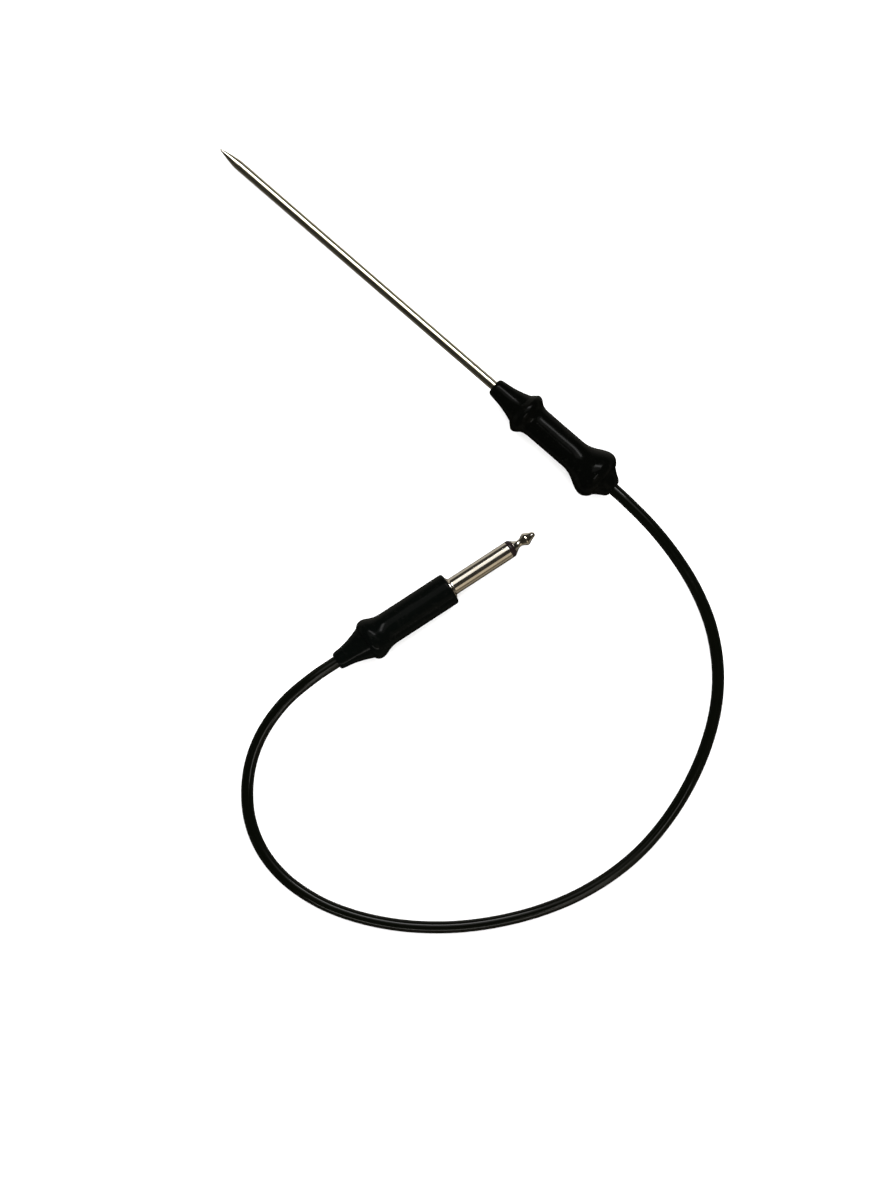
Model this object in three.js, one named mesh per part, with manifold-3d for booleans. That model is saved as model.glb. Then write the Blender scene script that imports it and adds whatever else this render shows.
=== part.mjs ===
// A needle probe on a short cord: a pointed steel needle in a moulded rubber handle,
// and at the cord's other end a moulded 6.35 mm two-pole plug.
// Millimetres, +Z up. The probe lies along +X on the plane z = 0, point forward, and the
// origin is under the middle of the needle and handle. Each half is drawn along its own
// X axis, with x = 0 at the front face of its rubber and +x towards its metal tip.

import * as THREE from "three";
import { mergeVertices } from "three/addons/utils/BufferGeometryUtils.js";
import Module from "manifold-3d";

const wasm = await Module();
wasm.setup();

// ---------- driving dimensions ----------

const GAP = 0.3; // between pieces that touch on the real object

const FINE = 24; // sides of the turned pieces that show
const PLAIN = 12; // sides of the small inner pieces
const WIRE = 8; // sides of wires and sleeves
const CURVE_STEPS = 5; // steps along each curve of an outline

const NEEDLE = {
  radius: 1.75,
  bore: 1.3,
  length: 129.3, // from the handle's front face to the point
  pointLength: 9.3,
  bluntRadius: 0.35,
  rear: -22.5,
};

const HANDLE = {
  noseRadius: 3.5,
  noseRootRadius: 5.95,
  noseSeam: -12,
  rimRadius: 7.95,
  rimX: -14.6,
  waistRadius: 5.7,
  waistFront: -20,
  waistRear: -37,
  bulbRadius: 9.3,
  bulbX: -48,
  rearSeam: -51.6,
  rearSeamRadius: 6.7,
  rear: -56.2,
  bore: 4.5,
  tenon: 4.2,
};

const PLUG = {
  tipLength: 35.8, // from the grip's front face to the tip
  barrelRadius: 3.175,
  barrelBore: 2.5,
  barrelFront: 25,
  barrelRear: -9.6,
  seatRadius: 4.2, // of the barrel's collar inside the grip
  throatRear: -6, // where the grip's narrow throat opens into its bore
  flangeRadius: 4.35,
  flangeFront: 1.2,
  rodRadius: 1.1,
  gripRadius: 6,
  gripCorner: 0.8,
  bulbRadius: 7.75,
  bulbX: -33.4,
  seam: -36,
  seamRadius: 6.5,
  rear: -48.4,
  bore: 4.6,
  tenon: 4.3,
  datum: [-71.9, 64.6], // where x = 0 of the plug lies on the table
  heading: -106.1, // degrees from +X to the way the tip points
};

const CORD = {
  radius: 2.2,
  bore: 2.5, // of every hole that the cord passes through
  coreRadius: 0.65,
  strippedRadius: 0.25,
  corePitch: 0.85, // of each core from the cord's middle
  sides: 10,
  steps: 64,
  frontInHandle: -39.8,
  frontInPlug: -25,
};

// The sensor is a glass bead in potting, close behind the needle's point.
const SENSOR = {
  beadX: 113.5,
  beadRadii: [1.1, 0.6, 0.6],
  pottingRear: 108.6,
  pottingFront: 116.6,
  pottingRadius: 1.05,
  pottingWall: 0.2,
  leadRadius: 0.15,
  leadPitch: 0.6, // of each lead from the needle's middle
  beadPitch: 0.3, // the same where the lead meets the bead
  leadRear: -29,
  sleeveBore: 0.28,
  sleeveRadius: 0.5,
  sleeveRear: -26,
  sleeveFront: 108,
  spread: [-22.5, -27], // where the leads part, from the needle's rear to the splices
};

// Inside the handle each lead is crimped to a core of the cord, in a shrunk sleeve.
const SPLICE = {
  pitch: 1.65, // of each splice from the handle's middle
  crimpRear: -33,
  crimpFront: -27,
  crimpBore: 0.45,
  crimpRadius: 0.8,
  sleeveRear: -34.8,
  sleeveFront: -25.5,
  sleeveBore: 1.05,
  sleeveRadius: 1.3,
  stripped: -34.3, // where a core's insulation ends
  coreFront: -31,
  carrierRear: -38,
  carrierFront: -21.5,
  carrierBore: 3.4,
};

const COLLAR = { rear: -21.2, front: -18.1, radius: 3.9 };
const FERRULE = { rear: -43.7, radius: 3.9 };
const TENON = { nose: 5.8, rearFront: -44, plugFront: -31 };

// Inside the plug, behind the barrel.
const LUGS = {
  thickness: 0.6,
  washerRadius: 2.3,
  washerRear: -11.8,
  washerFront: -11,
  tipRear: -12.7,
  tipTail: -19,
  tipHalfWidth: 0.9,
  tipHeight: 2.5, // of the tail's underside above the axis
  sleeveRear: -10.6,
  sleeveFront: -9.9,
  stripHalfWidth: 1.2,
  stripTop: -2.7,
  stripBottom: -3.2,
  clampRear: -29,
  clampLength: 3,
  clampBore: 2.6,
  clampRadius: 3.2,
  headRear: -14,
  headFront: -13,
  headRadius: 1.8,
  solderRadii: [1.2, 0.8, 0.45],
};

// The cord's route, from inside the handle round to inside the plug. It leaves the
// handle along the handle's axis, sinks to the table, lies on it in one wide loop and
// rises again to the plug's axis. The first two and last three points are on those axes.
const CORD_ROUTE = [
  [-76.3, 0, 8.96],
  [-92.6, 0, 9.62],
  [-99.3, 0.2, 9.82],
  [-112.9, 1.3, 9.1],
  [-127.2, 4.1, 6.9],
  [-140.1, 8.4, 4.4],
  [-152.1, 14.8, 2.8],
  [-163.2, 24.2, 2.2],
  [-171.5, 35, 2.2],
  [-177.9, 48, 2.2],
  [-182, 61.1, 2.2],
  [-184.3, 74.5, 2.2],
  [-184.7, 89.1, 2.2],
  [-182.8, 102.6, 2.2],
  [-178.5, 116.5, 2.2],
  [-172.6, 128.7, 2.2],
  [-165.1, 140.2, 2.2],
  [-155.8, 151.4, 2.2],
  [-145.9, 160.7, 2.2],
  [-134.9, 168.8, 2.2],
  [-122.1, 175.7, 2.2],
  [-109.2, 180.1, 2.2],
  [-94.7, 181.6, 2.2],
  [-81.4, 179, 2.2],
  [-69.8, 172.2, 2.45],
  [-60.4, 161, 3.4],
  [-55.3, 148.5, 5.3],
  [-53.9, 134.1, 7.5],
  [-55.9, 120.6, 8.85],
  [-58.5, 111, 8.53],
  [-61.7, 100.1, 7.92],
  [-65, 88.6, 7.28],
];

// ---------- shapes ----------

// An outline in the half plane beside the X axis: x along the axis, y the radius. It runs
// rear to front on the outside. It ends on the axis, or closes on itself round a bore.
function outline(x, radius) {
  return new THREE.Path().moveTo(x, radius);
}

// The solid that an outline sweeps round the X axis, with one corner of every ring at -Z.
function turned(path, sides) {
  const section = path.getPoints(CURVE_STEPS).map((p) => new THREE.Vector2(p.y, p.x));
  return new THREE.LatheGeometry(section, sides).rotateZ(-Math.PI / 2);
}

function pipe(rear, front, bore, radius, sides = PLAIN) {
  const path = outline(rear, bore).lineTo(rear, radius).lineTo(front, radius);
  path.lineTo(front, bore).lineTo(rear, bore);
  return turned(path, sides);
}

// A box from its lowest to its highest corner.
function block([x0, y0, z0], [x1, y1, z1]) {
  const box = new THREE.BoxGeometry(x1 - x0, y1 - y0, z1 - z0);
  return box.translate((x0 + x1) / 2, (y0 + y1) / 2, (z0 + z1) / 2);
}

// A drop of solder or glass: a sphere drawn out to three radii.
function drop([x, y, z], [rx, ry, rz]) {
  return new THREE.SphereGeometry(1, PLAIN, WIRE).scale(rx, ry, rz).translate(x, y, z);
}

// Slides a piece sideways along one axis by a distance that grows smoothly from
// nothing at x = start to shift at x = end, so a straight wire takes a gentle S.
function swerved(geometry, axis, start, end, shift) {
  const position = geometry.attributes.position;
  const index = { y: 1, z: 2 }[axis];
  for (let i = 0; i < position.count; i += 1) {
    const t = THREE.MathUtils.clamp((position.getX(i) - start) / (end - start), 0, 1);
    const moved = position.getComponent(i, index) + shift * t * t * (3 - 2 * t);
    position.setComponent(i, index, moved);
  }
  return geometry;
}

// A rod or pipe with extra rings over one stretch, so that it can swerve there.
function wireSection(rear, front, bore, radius, bends) {
  const stops = [rear];
  for (const [low, high] of bends) {
    for (let i = 0; i <= 4; i += 1) stops.push(low + ((high - low) * i) / 4);
  }
  stops.push(front);
  const path = outline(rear, bore);
  for (const x of stops) path.lineTo(x, radius);
  path.lineTo(front, bore);
  if (bore > 0) {
    for (const x of stops.slice(0, -1).reverse()) path.lineTo(x, bore);
  }
  return turned(path, WIRE);
}

function solidOf(geometry) {
  const bare = geometry.clone();
  bare.deleteAttribute("normal");
  bare.deleteAttribute("uv");
  const merged = mergeVertices(bare, 1e-4);
  const mesh = new wasm.Mesh({
    numProp: 3,
    vertProperties: merged.attributes.position.array,
    triVerts: new Uint32Array(merged.index.array),
  });
  return new wasm.Manifold(mesh);
}

function geometryOf(solid) {
  const { vertProperties, triVerts } = solid.getMesh();
  const geometry = new THREE.BufferGeometry();
  geometry.setAttribute("position", new THREE.BufferAttribute(vertProperties, 3));
  geometry.setIndex(new THREE.BufferAttribute(triVerts, 1));
  geometry.computeVertexNormals();
  return geometry;
}

function joined(...geometries) {
  const solids = geometries.map(solidOf);
  return geometryOf(solids.reduce((whole, next) => whole.add(next)));
}

// ---------- finishes ----------

function finish(color, roughness, metalness) {
  return new THREE.MeshStandardMaterial({ color, roughness, metalness });
}

const stainless = finish(0xb9b0a4, 0.18, 1);
const nickel = finish(0xc4bcae, 0.14, 1);
const handleRubber = finish(0x0a0a0a, 0.28, 0);
const plugRubber = finish(0x0b0c0b, 0.42, 0);
const cordJacket = finish(0x080808, 0.3, 0);
const ringPlastic = finish(0x17100e, 0.3, 0);
const brass = finish(0xb08d4c, 0.35, 1);
const copper = finish(0xb06a45, 0.35, 1);
const solder = finish(0x9a9c9e, 0.4, 1);
const fibre = finish(0x6e3a22, 0.7, 0);
const carrierPlastic = finish(0xd8d2c2, 0.6, 0);
const sleevePlastic = finish(0xe8e6e0, 0.5, 0);
const shrinkSleeve = finish(0x3b1513, 0.6, 0);
const coreRed = finish(0x9c1c18, 0.5, 0);
const coreWhite = finish(0xdcdad2, 0.5, 0);
const glass = finish(0x8a4a1e, 0.15, 0);
const potting = finish(0x4c4a46, 0.7, 0);

// A piece's name, shape and finish become a mesh in the group that it belongs to.
function add(group, name, geometry, material) {
  const mesh = new THREE.Mesh(geometry, material);
  mesh.name = name;
  group.add(mesh);
}

// ---------- the probe ----------

function needlePoint() {
  const { radius, bore, length, pointLength, bluntRadius } = NEEDLE;
  const root = length - pointLength;
  const spigot = bore - GAP;
  const path = outline(root - 3, 0).lineTo(root - 3, spigot).lineTo(root, spigot);
  path.lineTo(root, radius);
  path.bezierCurveTo(root + 3, radius - 0.1, root + 6.2, 0.9, length - 0.3, bluntRadius);
  path.lineTo(length, 0);
  return turned(path, FINE);
}

function noseBoot() {
  const { noseRadius, noseRootRadius, noseSeam, tenon } = HANDLE;
  const bore = NEEDLE.radius + GAP;
  const rear = noseSeam - TENON.nose;
  const path = outline(rear, bore).lineTo(rear, tenon);
  path.lineTo(noseSeam, tenon).lineTo(noseSeam, noseRootRadius);
  path.quadraticCurveTo(-7, 4.35, -1.3, noseRadius);
  path.quadraticCurveTo(0, noseRadius, 0, noseRadius - 0.8);
  path.lineTo(0, bore).lineTo(rear, bore);
  return turned(path, FINE);
}

// The grip's outside runs from the bulb behind, along the waist, to the rim in front.
function grip() {
  const h = HANDLE;
  const rear = h.rearSeam + GAP / 2;
  const front = h.noseSeam - GAP;
  const path = outline(rear, h.bore).lineTo(rear, h.rearSeamRadius);
  path.bezierCurveTo(rear + 0.2, 7.7, h.bulbX - 2, h.bulbRadius, h.bulbX, h.bulbRadius);
  path.bezierCurveTo(-44.3, h.bulbRadius, -42.2, h.waistRadius, h.waistRear, h.waistRadius);
  path.lineTo(h.waistFront, h.waistRadius);
  path.bezierCurveTo(-17.6, h.waistRadius, -16.6, h.rimRadius, h.rimX, h.rimRadius);
  path.quadraticCurveTo(-13.4, h.rimRadius, front, h.noseRootRadius + 0.2);
  path.lineTo(front, h.bore).lineTo(rear, h.bore);
  return turned(path, FINE);
}

function rearBoot() {
  const { rearSeam, rear, tenon } = HANDLE;
  const shoulder = rearSeam - GAP / 2;
  const path = outline(rear, CORD.bore).lineTo(rear, CORD.bore + 0.3);
  path.quadraticCurveTo(rear + 0.5, 4.3, shoulder, 6.3);
  path.lineTo(shoulder, tenon).lineTo(TENON.rearFront, tenon);
  path.lineTo(TENON.rearFront, CORD.bore);
  path.lineTo(rear, CORD.bore);
  return turned(path, FINE);
}

// The potting is a cup round the bead, closed in front and open behind for the leads.
function sensorPotting() {
  const { pottingRear: rear, pottingFront: front, pottingRadius: radius } = SENSOR;
  const bore = radius - SENSOR.pottingWall;
  const floor = SENSOR.beadX + SENSOR.beadRadii[0] + 2 * GAP;
  const path = outline(rear, bore).lineTo(rear, radius).lineTo(front, radius);
  path.lineTo(front, 0).lineTo(floor, 0).lineTo(floor, bore).lineTo(rear, bore);
  return turned(path, PLAIN);
}

// Side is +1 or -1: it says on which side of the axis a lead and its core run.
function sensorLead(side) {
  const { leadPitch, beadPitch, spread } = SENSOR;
  const front = SENSOR.beadX - SENSOR.beadRadii[0] - GAP;
  const nearBead = [front - 2, front - 0.3];
  const bends = [[spread[1], spread[0]], nearBead];
  const lead = wireSection(SENSOR.leadRear, front, 0, SENSOR.leadRadius, bends);
  lead.translate(0, leadPitch * side, 0);
  swerved(lead, "y", ...nearBead, (beadPitch - leadPitch) * side);
  return swerved(lead, "y", ...spread, (SPLICE.pitch - leadPitch) * side);
}

function leadSleeve(side) {
  const { sleeveRear, sleeveFront, sleeveBore, sleeveRadius, leadPitch, spread } = SENSOR;
  const bends = [[sleeveRear + 0.5, spread[0]]];
  const sleeve = wireSection(sleeveRear, sleeveFront, sleeveBore, sleeveRadius, bends);
  sleeve.translate(0, leadPitch * side, 0);
  return swerved(sleeve, "y", ...spread, (SPLICE.pitch - leadPitch) * side);
}

// A core of the cord, stripped at its front end, where it enters the splice's crimp.
function coreWire(side) {
  const { pitch, stripped, coreFront } = SPLICE;
  const rear = CORD.frontInHandle + GAP;
  const path = outline(rear, 0);
  for (let i = 0; i <= 5; i += 1) {
    path.lineTo(rear + ((stripped - rear) * i) / 5, CORD.coreRadius);
  }
  path.lineTo(stripped, CORD.strippedRadius).lineTo(coreFront, CORD.strippedRadius);
  path.lineTo(coreFront, 0);
  const core = turned(path, WIRE).translate(0, pitch * side, 0);
  return swerved(core, "y", stripped - 0.7, rear + 0.5, (CORD.corePitch - pitch) * side);
}

function addSplice(group, side, letter, coreFinish) {
  const s = SPLICE;
  const crimp = pipe(s.crimpRear, s.crimpFront, s.crimpBore, s.crimpRadius);
  const sleeve = pipe(s.sleeveRear, s.sleeveFront, s.sleeveBore, s.sleeveRadius);
  add(group, "sensor_lead_" + letter, sensorLead(side), copper);
  add(group, "lead_sleeve_" + letter, leadSleeve(side), sleevePlastic);
  add(group, "splice_crimp_" + letter, crimp.translate(0, s.pitch * side, 0), brass);
  add(group, "splice_sleeve_" + letter, sleeve.translate(0, s.pitch * side, 0), shrinkSleeve);
  add(group, "core_wire_" + letter, coreWire(side), coreFinish);
}

function buildProbe() {
  const group = new THREE.Group();
  const { rear, radius, bore, length, pointLength } = NEEDLE;
  const { carrierRear, carrierFront, carrierBore } = SPLICE;
  const tube = pipe(rear, length - pointLength - GAP, bore, radius, FINE);
  const collar = pipe(COLLAR.rear, COLLAR.front, radius + GAP, COLLAR.radius, FINE);
  const carrier = pipe(carrierRear, carrierFront, carrierBore, HANDLE.tenon, FINE);
  const ferrule = pipe(FERRULE.rear, CORD.frontInHandle, CORD.bore, FERRULE.radius, FINE);
  add(group, "needle_tube", tube, stainless);
  add(group, "needle_point", needlePoint(), stainless);
  add(group, "sensor_bead", drop([SENSOR.beadX, 0, 0], SENSOR.beadRadii), glass);
  add(group, "sensor_potting", sensorPotting(), potting);
  addSplice(group, 1, "a", coreRed);
  addSplice(group, -1, "b", coreWhite);
  add(group, "anchor_collar", collar, brass);
  add(group, "splice_carrier", carrier, carrierPlastic);
  add(group, "cord_ferrule", ferrule, brass);
  add(group, "nose_boot", noseBoot(), handleRubber);
  add(group, "grip", grip(), handleRubber);
  add(group, "rear_boot", rearBoot(), handleRubber);
  return group;
}

// ---------- the plug ----------

// The tip contact: nose, ridge, neck and flare, then a rod through the insulator that
// is peened over behind the solder lug.
function plugTip() {
  const { tipLength, rodRadius } = PLUG;
  const { headRear, headFront, headRadius } = LUGS;
  const path = outline(headRear, 0).lineTo(headRear, headRadius);
  path.lineTo(headFront, headRadius).lineTo(headFront, rodRadius);
  path.lineTo(27.2, rodRadius).lineTo(27.2, 2.6);
  path.quadraticCurveTo(27.9, 1.55, 29.4, 1.45);
  path.quadraticCurveTo(30.9, 1.5, 32, 2.3);
  path.quadraticCurveTo(32.5, 2.55, 33, 2.3);
  path.quadraticCurveTo(34.3, 1.45, 35.3, 0.95);
  path.quadraticCurveTo(tipLength, 0.7, tipLength, 0);
  return turned(path, FINE);
}

// The black ring behind the flare, in one piece with the sleeve round the rod.
function tipInsulator() {
  const bore = PLUG.rodRadius + GAP;
  const sleeve = PLUG.barrelBore - GAP;
  const rear = PLUG.barrelRear - 1.1;
  const shoulder = PLUG.barrelFront + GAP;
  const path = outline(rear, bore).lineTo(rear, sleeve).lineTo(shoulder, sleeve);
  path.lineTo(shoulder, PLUG.barrelRadius).lineTo(26.3, PLUG.barrelRadius);
  path.lineTo(26.9, 2.75).lineTo(26.9, bore).lineTo(rear, bore);
  return turned(path, FINE);
}

function plugBarrel() {
  const { barrelRadius, barrelBore, barrelFront, barrelRear, flangeRadius } = PLUG;
  const seatFront = PLUG.throatRear - GAP;
  const path = outline(barrelRear, barrelBore).lineTo(barrelRear, PLUG.seatRadius);
  path.lineTo(seatFront, PLUG.seatRadius).lineTo(seatFront, barrelRadius);
  path.lineTo(GAP, barrelRadius).lineTo(GAP, flangeRadius);
  path.lineTo(PLUG.flangeFront, flangeRadius).lineTo(PLUG.flangeFront, barrelRadius);
  path.lineTo(barrelFront, barrelRadius).lineTo(barrelFront, barrelBore);
  path.lineTo(barrelRear, barrelBore);
  return turned(path, FINE);
}

// The sleeve's lug: a ring behind the barrel, a strip back along the underside, and half
// a ring there that clamps the cord.
function sleeveLug() {
  const { sleeveRear, sleeveFront, clampRear, clampLength, clampBore, clampRadius } = LUGS;
  const { stripHalfWidth: half, stripTop, stripBottom } = LUGS;
  const ring = pipe(sleeveRear, sleeveFront, PLUG.barrelBore, PLUG.seatRadius);
  const strip = block([clampRear, -half, stripBottom], [sleeveFront - 0.3, half, stripTop]);
  const halfRing = new THREE.Shape();
  halfRing.absarc(0, 0, clampRadius, Math.PI, 2 * Math.PI);
  halfRing.absarc(0, 0, clampBore, 2 * Math.PI, Math.PI, true);
  const sizes = { depth: clampLength, bevelEnabled: false, curveSegments: 5 };
  const clamp = new THREE.ExtrudeGeometry(halfRing, sizes);
  // The half ring lies in the XY plane: stand it across the axis, with its open side up.
  clamp.rotateX(Math.PI / 2).rotateZ(Math.PI / 2).translate(clampRear, 0, 0);
  return joined(ring, strip, clamp);
}

function tipLug() {
  const { tipRear, tipTail, tipHalfWidth: half, tipHeight, thickness } = LUGS;
  const front = tipRear + thickness;
  const top = tipHeight + 0.5;
  const ring = pipe(tipRear, front, PLUG.rodRadius + GAP, LUGS.washerRadius);
  const riser = block([tipRear, -half, 1.7], [front, half, top]);
  const tail = block([tipTail, -half, tipHeight], [front, half, top]);
  return joined(ring, riser, tail);
}

// A core of the cord inside the plug. It leaves the cord at one side of its middle and
// ends at the solder on its lug.
function plugWire(front, end, side) {
  const rear = CORD.frontInPlug + GAP;
  const wire = wireSection(rear, front, 0, CORD.coreRadius, [[rear + 0.6, front - 0.6]]);
  wire.translate(0, 0, CORD.corePitch * side);
  return swerved(wire, "z", rear + 0.6, front - 0.6, (end - CORD.corePitch) * side);
}

function plugGrip() {
  const p = PLUG;
  const rear = p.seam + GAP / 2;
  const throat = p.barrelRadius + GAP;
  const path = outline(rear, p.bore).lineTo(rear, p.seamRadius);
  path.quadraticCurveTo(p.bulbX - 1.3, p.bulbRadius, p.bulbX, p.bulbRadius);
  path.bezierCurveTo(-31.2, p.bulbRadius, -30.2, p.gripRadius, -26, p.gripRadius);
  path.lineTo(-p.gripCorner, p.gripRadius);
  path.quadraticCurveTo(0, p.gripRadius, 0, p.gripRadius - p.gripCorner);
  path.lineTo(0, throat).lineTo(p.throatRear, throat).lineTo(p.throatRear, p.bore);
  path.lineTo(rear, p.bore);
  return turned(path, FINE);
}

// The plug's boot relieves the strain where the cord leaves: a hollow-sided cone.
function plugBoot() {
  const { seam, rear, tenon } = PLUG;
  const shoulder = seam - GAP / 2;
  const path = outline(rear, CORD.bore).lineTo(rear, CORD.bore + 0.2);
  path.quadraticCurveTo(rear + 0.5, 3.4, -46, 3.55);
  path.quadraticCurveTo(-41.5, 4, shoulder, 6.3);
  path.lineTo(shoulder, tenon).lineTo(TENON.plugFront, tenon);
  path.lineTo(TENON.plugFront, CORD.bore);
  path.lineTo(rear, CORD.bore);
  return turned(path, FINE);
}

function buildPlug() {
  const group = new THREE.Group();
  const { washerRear, washerFront, washerRadius, solderRadii } = LUGS;
  const washer = pipe(washerRear, washerFront, PLUG.rodRadius + GAP, washerRadius);
  add(group, "plug_tip", plugTip(), nickel);
  add(group, "tip_insulator", tipInsulator(), ringPlastic);
  add(group, "plug_barrel", plugBarrel(), nickel);
  add(group, "sleeve_lug", sleeveLug(), brass);
  add(group, "rear_washer", washer, fibre);
  add(group, "tip_lug", tipLug(), brass);
  add(group, "tip_solder", drop([-17.6, 0, 1.75], solderRadii), solder);
  add(group, "sleeve_solder", drop([-18.4, 0, -1.95], solderRadii), solder);
  add(group, "tip_wire", plugWire(-19.1, 1.75, 1), coreRed);
  add(group, "sleeve_wire", plugWire(-19.9, 1.8, -1), coreWhite);
  add(group, "plug_grip", plugGrip(), plugRubber);
  add(group, "plug_boot", plugBoot(), plugRubber);
  return group;
}

// ---------- the cord ----------

function cord() {
  const points = CORD_ROUTE.map(([x, y, z]) => new THREE.Vector3(x, y, z));
  const section = new THREE.Shape().absarc(0, 0, CORD.radius, 0, 2 * Math.PI);
  return new THREE.ExtrudeGeometry(section, {
    extrudePath: new THREE.CatmullRomCurve3(points),
    steps: CORD.steps,
    curveSegments: CORD.sides / 2, // for each half of a circle
    bevelEnabled: false,
  });
}

// ---------- how it lies ----------

// A round piece lies on the table on two rings, so its axis dips towards the smaller one.
// Each ring is [x along the axis, radius]. The axis's dip, and its height at x = 0:
function lying([frontX, frontRadius], [rearX, rearRadius]) {
  const dip = Math.asin((rearRadius - frontRadius) / (frontX - rearX));
  const height = frontRadius * Math.cos(dip) + frontX * Math.sin(dip);
  return { dip, height };
}

const probe = buildProbe();
const probeLies = lying([HANDLE.rimX, HANDLE.rimRadius], [HANDLE.bulbX, HANDLE.bulbRadius]);
const probeMiddle = ((NEEDLE.length + HANDLE.rear) / 2) * Math.cos(probeLies.dip);
probe.rotation.y = probeLies.dip;
probe.position.set(-probeMiddle, 0, probeLies.height);

const plug = buildPlug();
const plugLies = lying([-PLUG.gripCorner, PLUG.gripRadius], [PLUG.bulbX, PLUG.bulbRadius]);
plug.rotation.order = "ZYX";
plug.rotation.set(0, plugLies.dip, THREE.MathUtils.degToRad(PLUG.heading));
plug.position.set(...PLUG.datum, plugLies.height);

const needleProbe = new THREE.Group();
needleProbe.add(probe);
needleProbe.add(plug);
add(needleProbe, "cord", cord(), cordJacket);

export default needleProbe;
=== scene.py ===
"""A needle probe on a short cord with a 6.35 mm plug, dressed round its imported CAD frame."""

import logging
import math
from collections.abc import Callable, Iterable, Sequence
from dataclasses import dataclass, field
from enum import Enum

import bmesh
import bpy
from mathutils import Euler, Matrix, Vector
from mathutils.geometry import interpolate_bezier


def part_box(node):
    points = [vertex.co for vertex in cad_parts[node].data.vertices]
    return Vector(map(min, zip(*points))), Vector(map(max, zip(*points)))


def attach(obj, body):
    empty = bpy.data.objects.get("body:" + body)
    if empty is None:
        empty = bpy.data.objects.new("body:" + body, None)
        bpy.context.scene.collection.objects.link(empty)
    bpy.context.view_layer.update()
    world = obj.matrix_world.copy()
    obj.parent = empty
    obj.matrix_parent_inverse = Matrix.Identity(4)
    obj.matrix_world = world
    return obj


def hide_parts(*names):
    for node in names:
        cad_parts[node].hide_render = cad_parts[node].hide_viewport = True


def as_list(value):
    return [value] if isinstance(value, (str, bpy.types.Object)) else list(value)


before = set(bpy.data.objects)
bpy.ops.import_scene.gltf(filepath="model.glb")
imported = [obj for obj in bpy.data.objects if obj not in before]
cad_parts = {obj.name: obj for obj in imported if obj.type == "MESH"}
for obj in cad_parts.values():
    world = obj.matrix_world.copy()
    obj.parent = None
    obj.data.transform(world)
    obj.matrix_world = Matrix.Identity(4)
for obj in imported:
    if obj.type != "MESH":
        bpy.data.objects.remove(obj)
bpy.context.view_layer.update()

MM = 0.001
BODY = "root"
FINE = 128  # sides of a turned piece
HOLD = 0.15  # how near a straight stretch's ends its extra rings are, in millimetres
GROOVE = 0.2  # depth of the grooves round the brass rings, in millimetres

Point = tuple[float, float]  # a place along an axis and a radius, in millimetres
Span = tuple[float, float]  # a piece's rear and front ends along its axis, in millimetres
Colour = tuple[float, float, float]
Socket = bpy.types.NodeSocket

log = logging.getLogger("needle_probe")


class Slot(Enum):
    """The record's material slots that the pieces take their finish from."""

    NEEDLE = "needle_steel"
    NICKEL = "nickel"
    HANDLE = "handle_rubber"
    PLUG = "plug_rubber"
    CORD = "cord_jacket"
    RING = "ring_plastic"
    BRASS = "brass"
    SOLDER = "solder"
    FIBRE = "fibre"
    CARRIER = "carrier_plastic"
    SHRINK = "shrink_sleeve"
    GLASS = "bead_glass"
    POTTING = "potting"


class Space(Enum):
    """What a finish's pattern is laid out in."""

    PIECE = "Object"
    LENGTH = "UV"


# ---------- places ----------


@dataclass(frozen=True)
class Lie:
    """How one half of the object lies on the table.

    The half is drawn in millimetres along its own X axis, with x = 0 at the front face of
    its rubber and +x towards its metal tip.

    Attributes:
        location: Where x = 0 of the axis is, in metres.
        dip: How far the axis dips towards the tip, in radians.
        heading: The way that the tip points, in radians from +X.
    """

    location: Vector
    dip: float
    heading: float = 0.0

    @property
    def euler(self) -> Euler:
        """The turn from the half's own axes to the object's."""
        return Euler((0.0, self.dip, self.heading), "XYZ")

    @property
    def matrix(self) -> Matrix:
        """From millimetres in the half's own axes to metres in the object's."""
        return Matrix.Translation(self.location) @ self.euler.to_matrix().to_4x4() @ Matrix.Scale(MM, 4)

    def moved(self, along: float, across: float, over: float) -> "Lie":
        """The lie of a line beside this axis, that many millimetres away."""
        return Lie(self.matrix @ Vector((along, across, over)), self.dip, self.heading)

    @classmethod
    def through(cls, ring: str, ring_x: float, rests: tuple[Point, Point], heading: float) -> "Lie":
        """Finds how a half lies from a plain ring of it and the two rims that it rests on.

        Args:
            ring: The CAD node of a plain ring, whose box is centred on the axis.
            ring_x: The middle of that ring along the axis, in millimetres.
            rests: The front and the rear rim, each as (x, radius), in millimetres.
            heading: The way that the tip points, in degrees from +X.

        Returns:
            The half's lie.
        """
        (front_x, front_radius), (rear_x, rear_radius) = rests
        dip = math.asin((rear_radius - front_radius) / (front_x - rear_x))
        low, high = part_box(ring)
        turn = Euler((0.0, dip, math.radians(heading)), "XYZ").to_matrix()
        location = (low + high) / 2 - turn @ Vector((ring_x * MM, 0.0, 0.0))
        return cls(location, dip, math.radians(heading))


# ---------- shapes ----------


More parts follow.
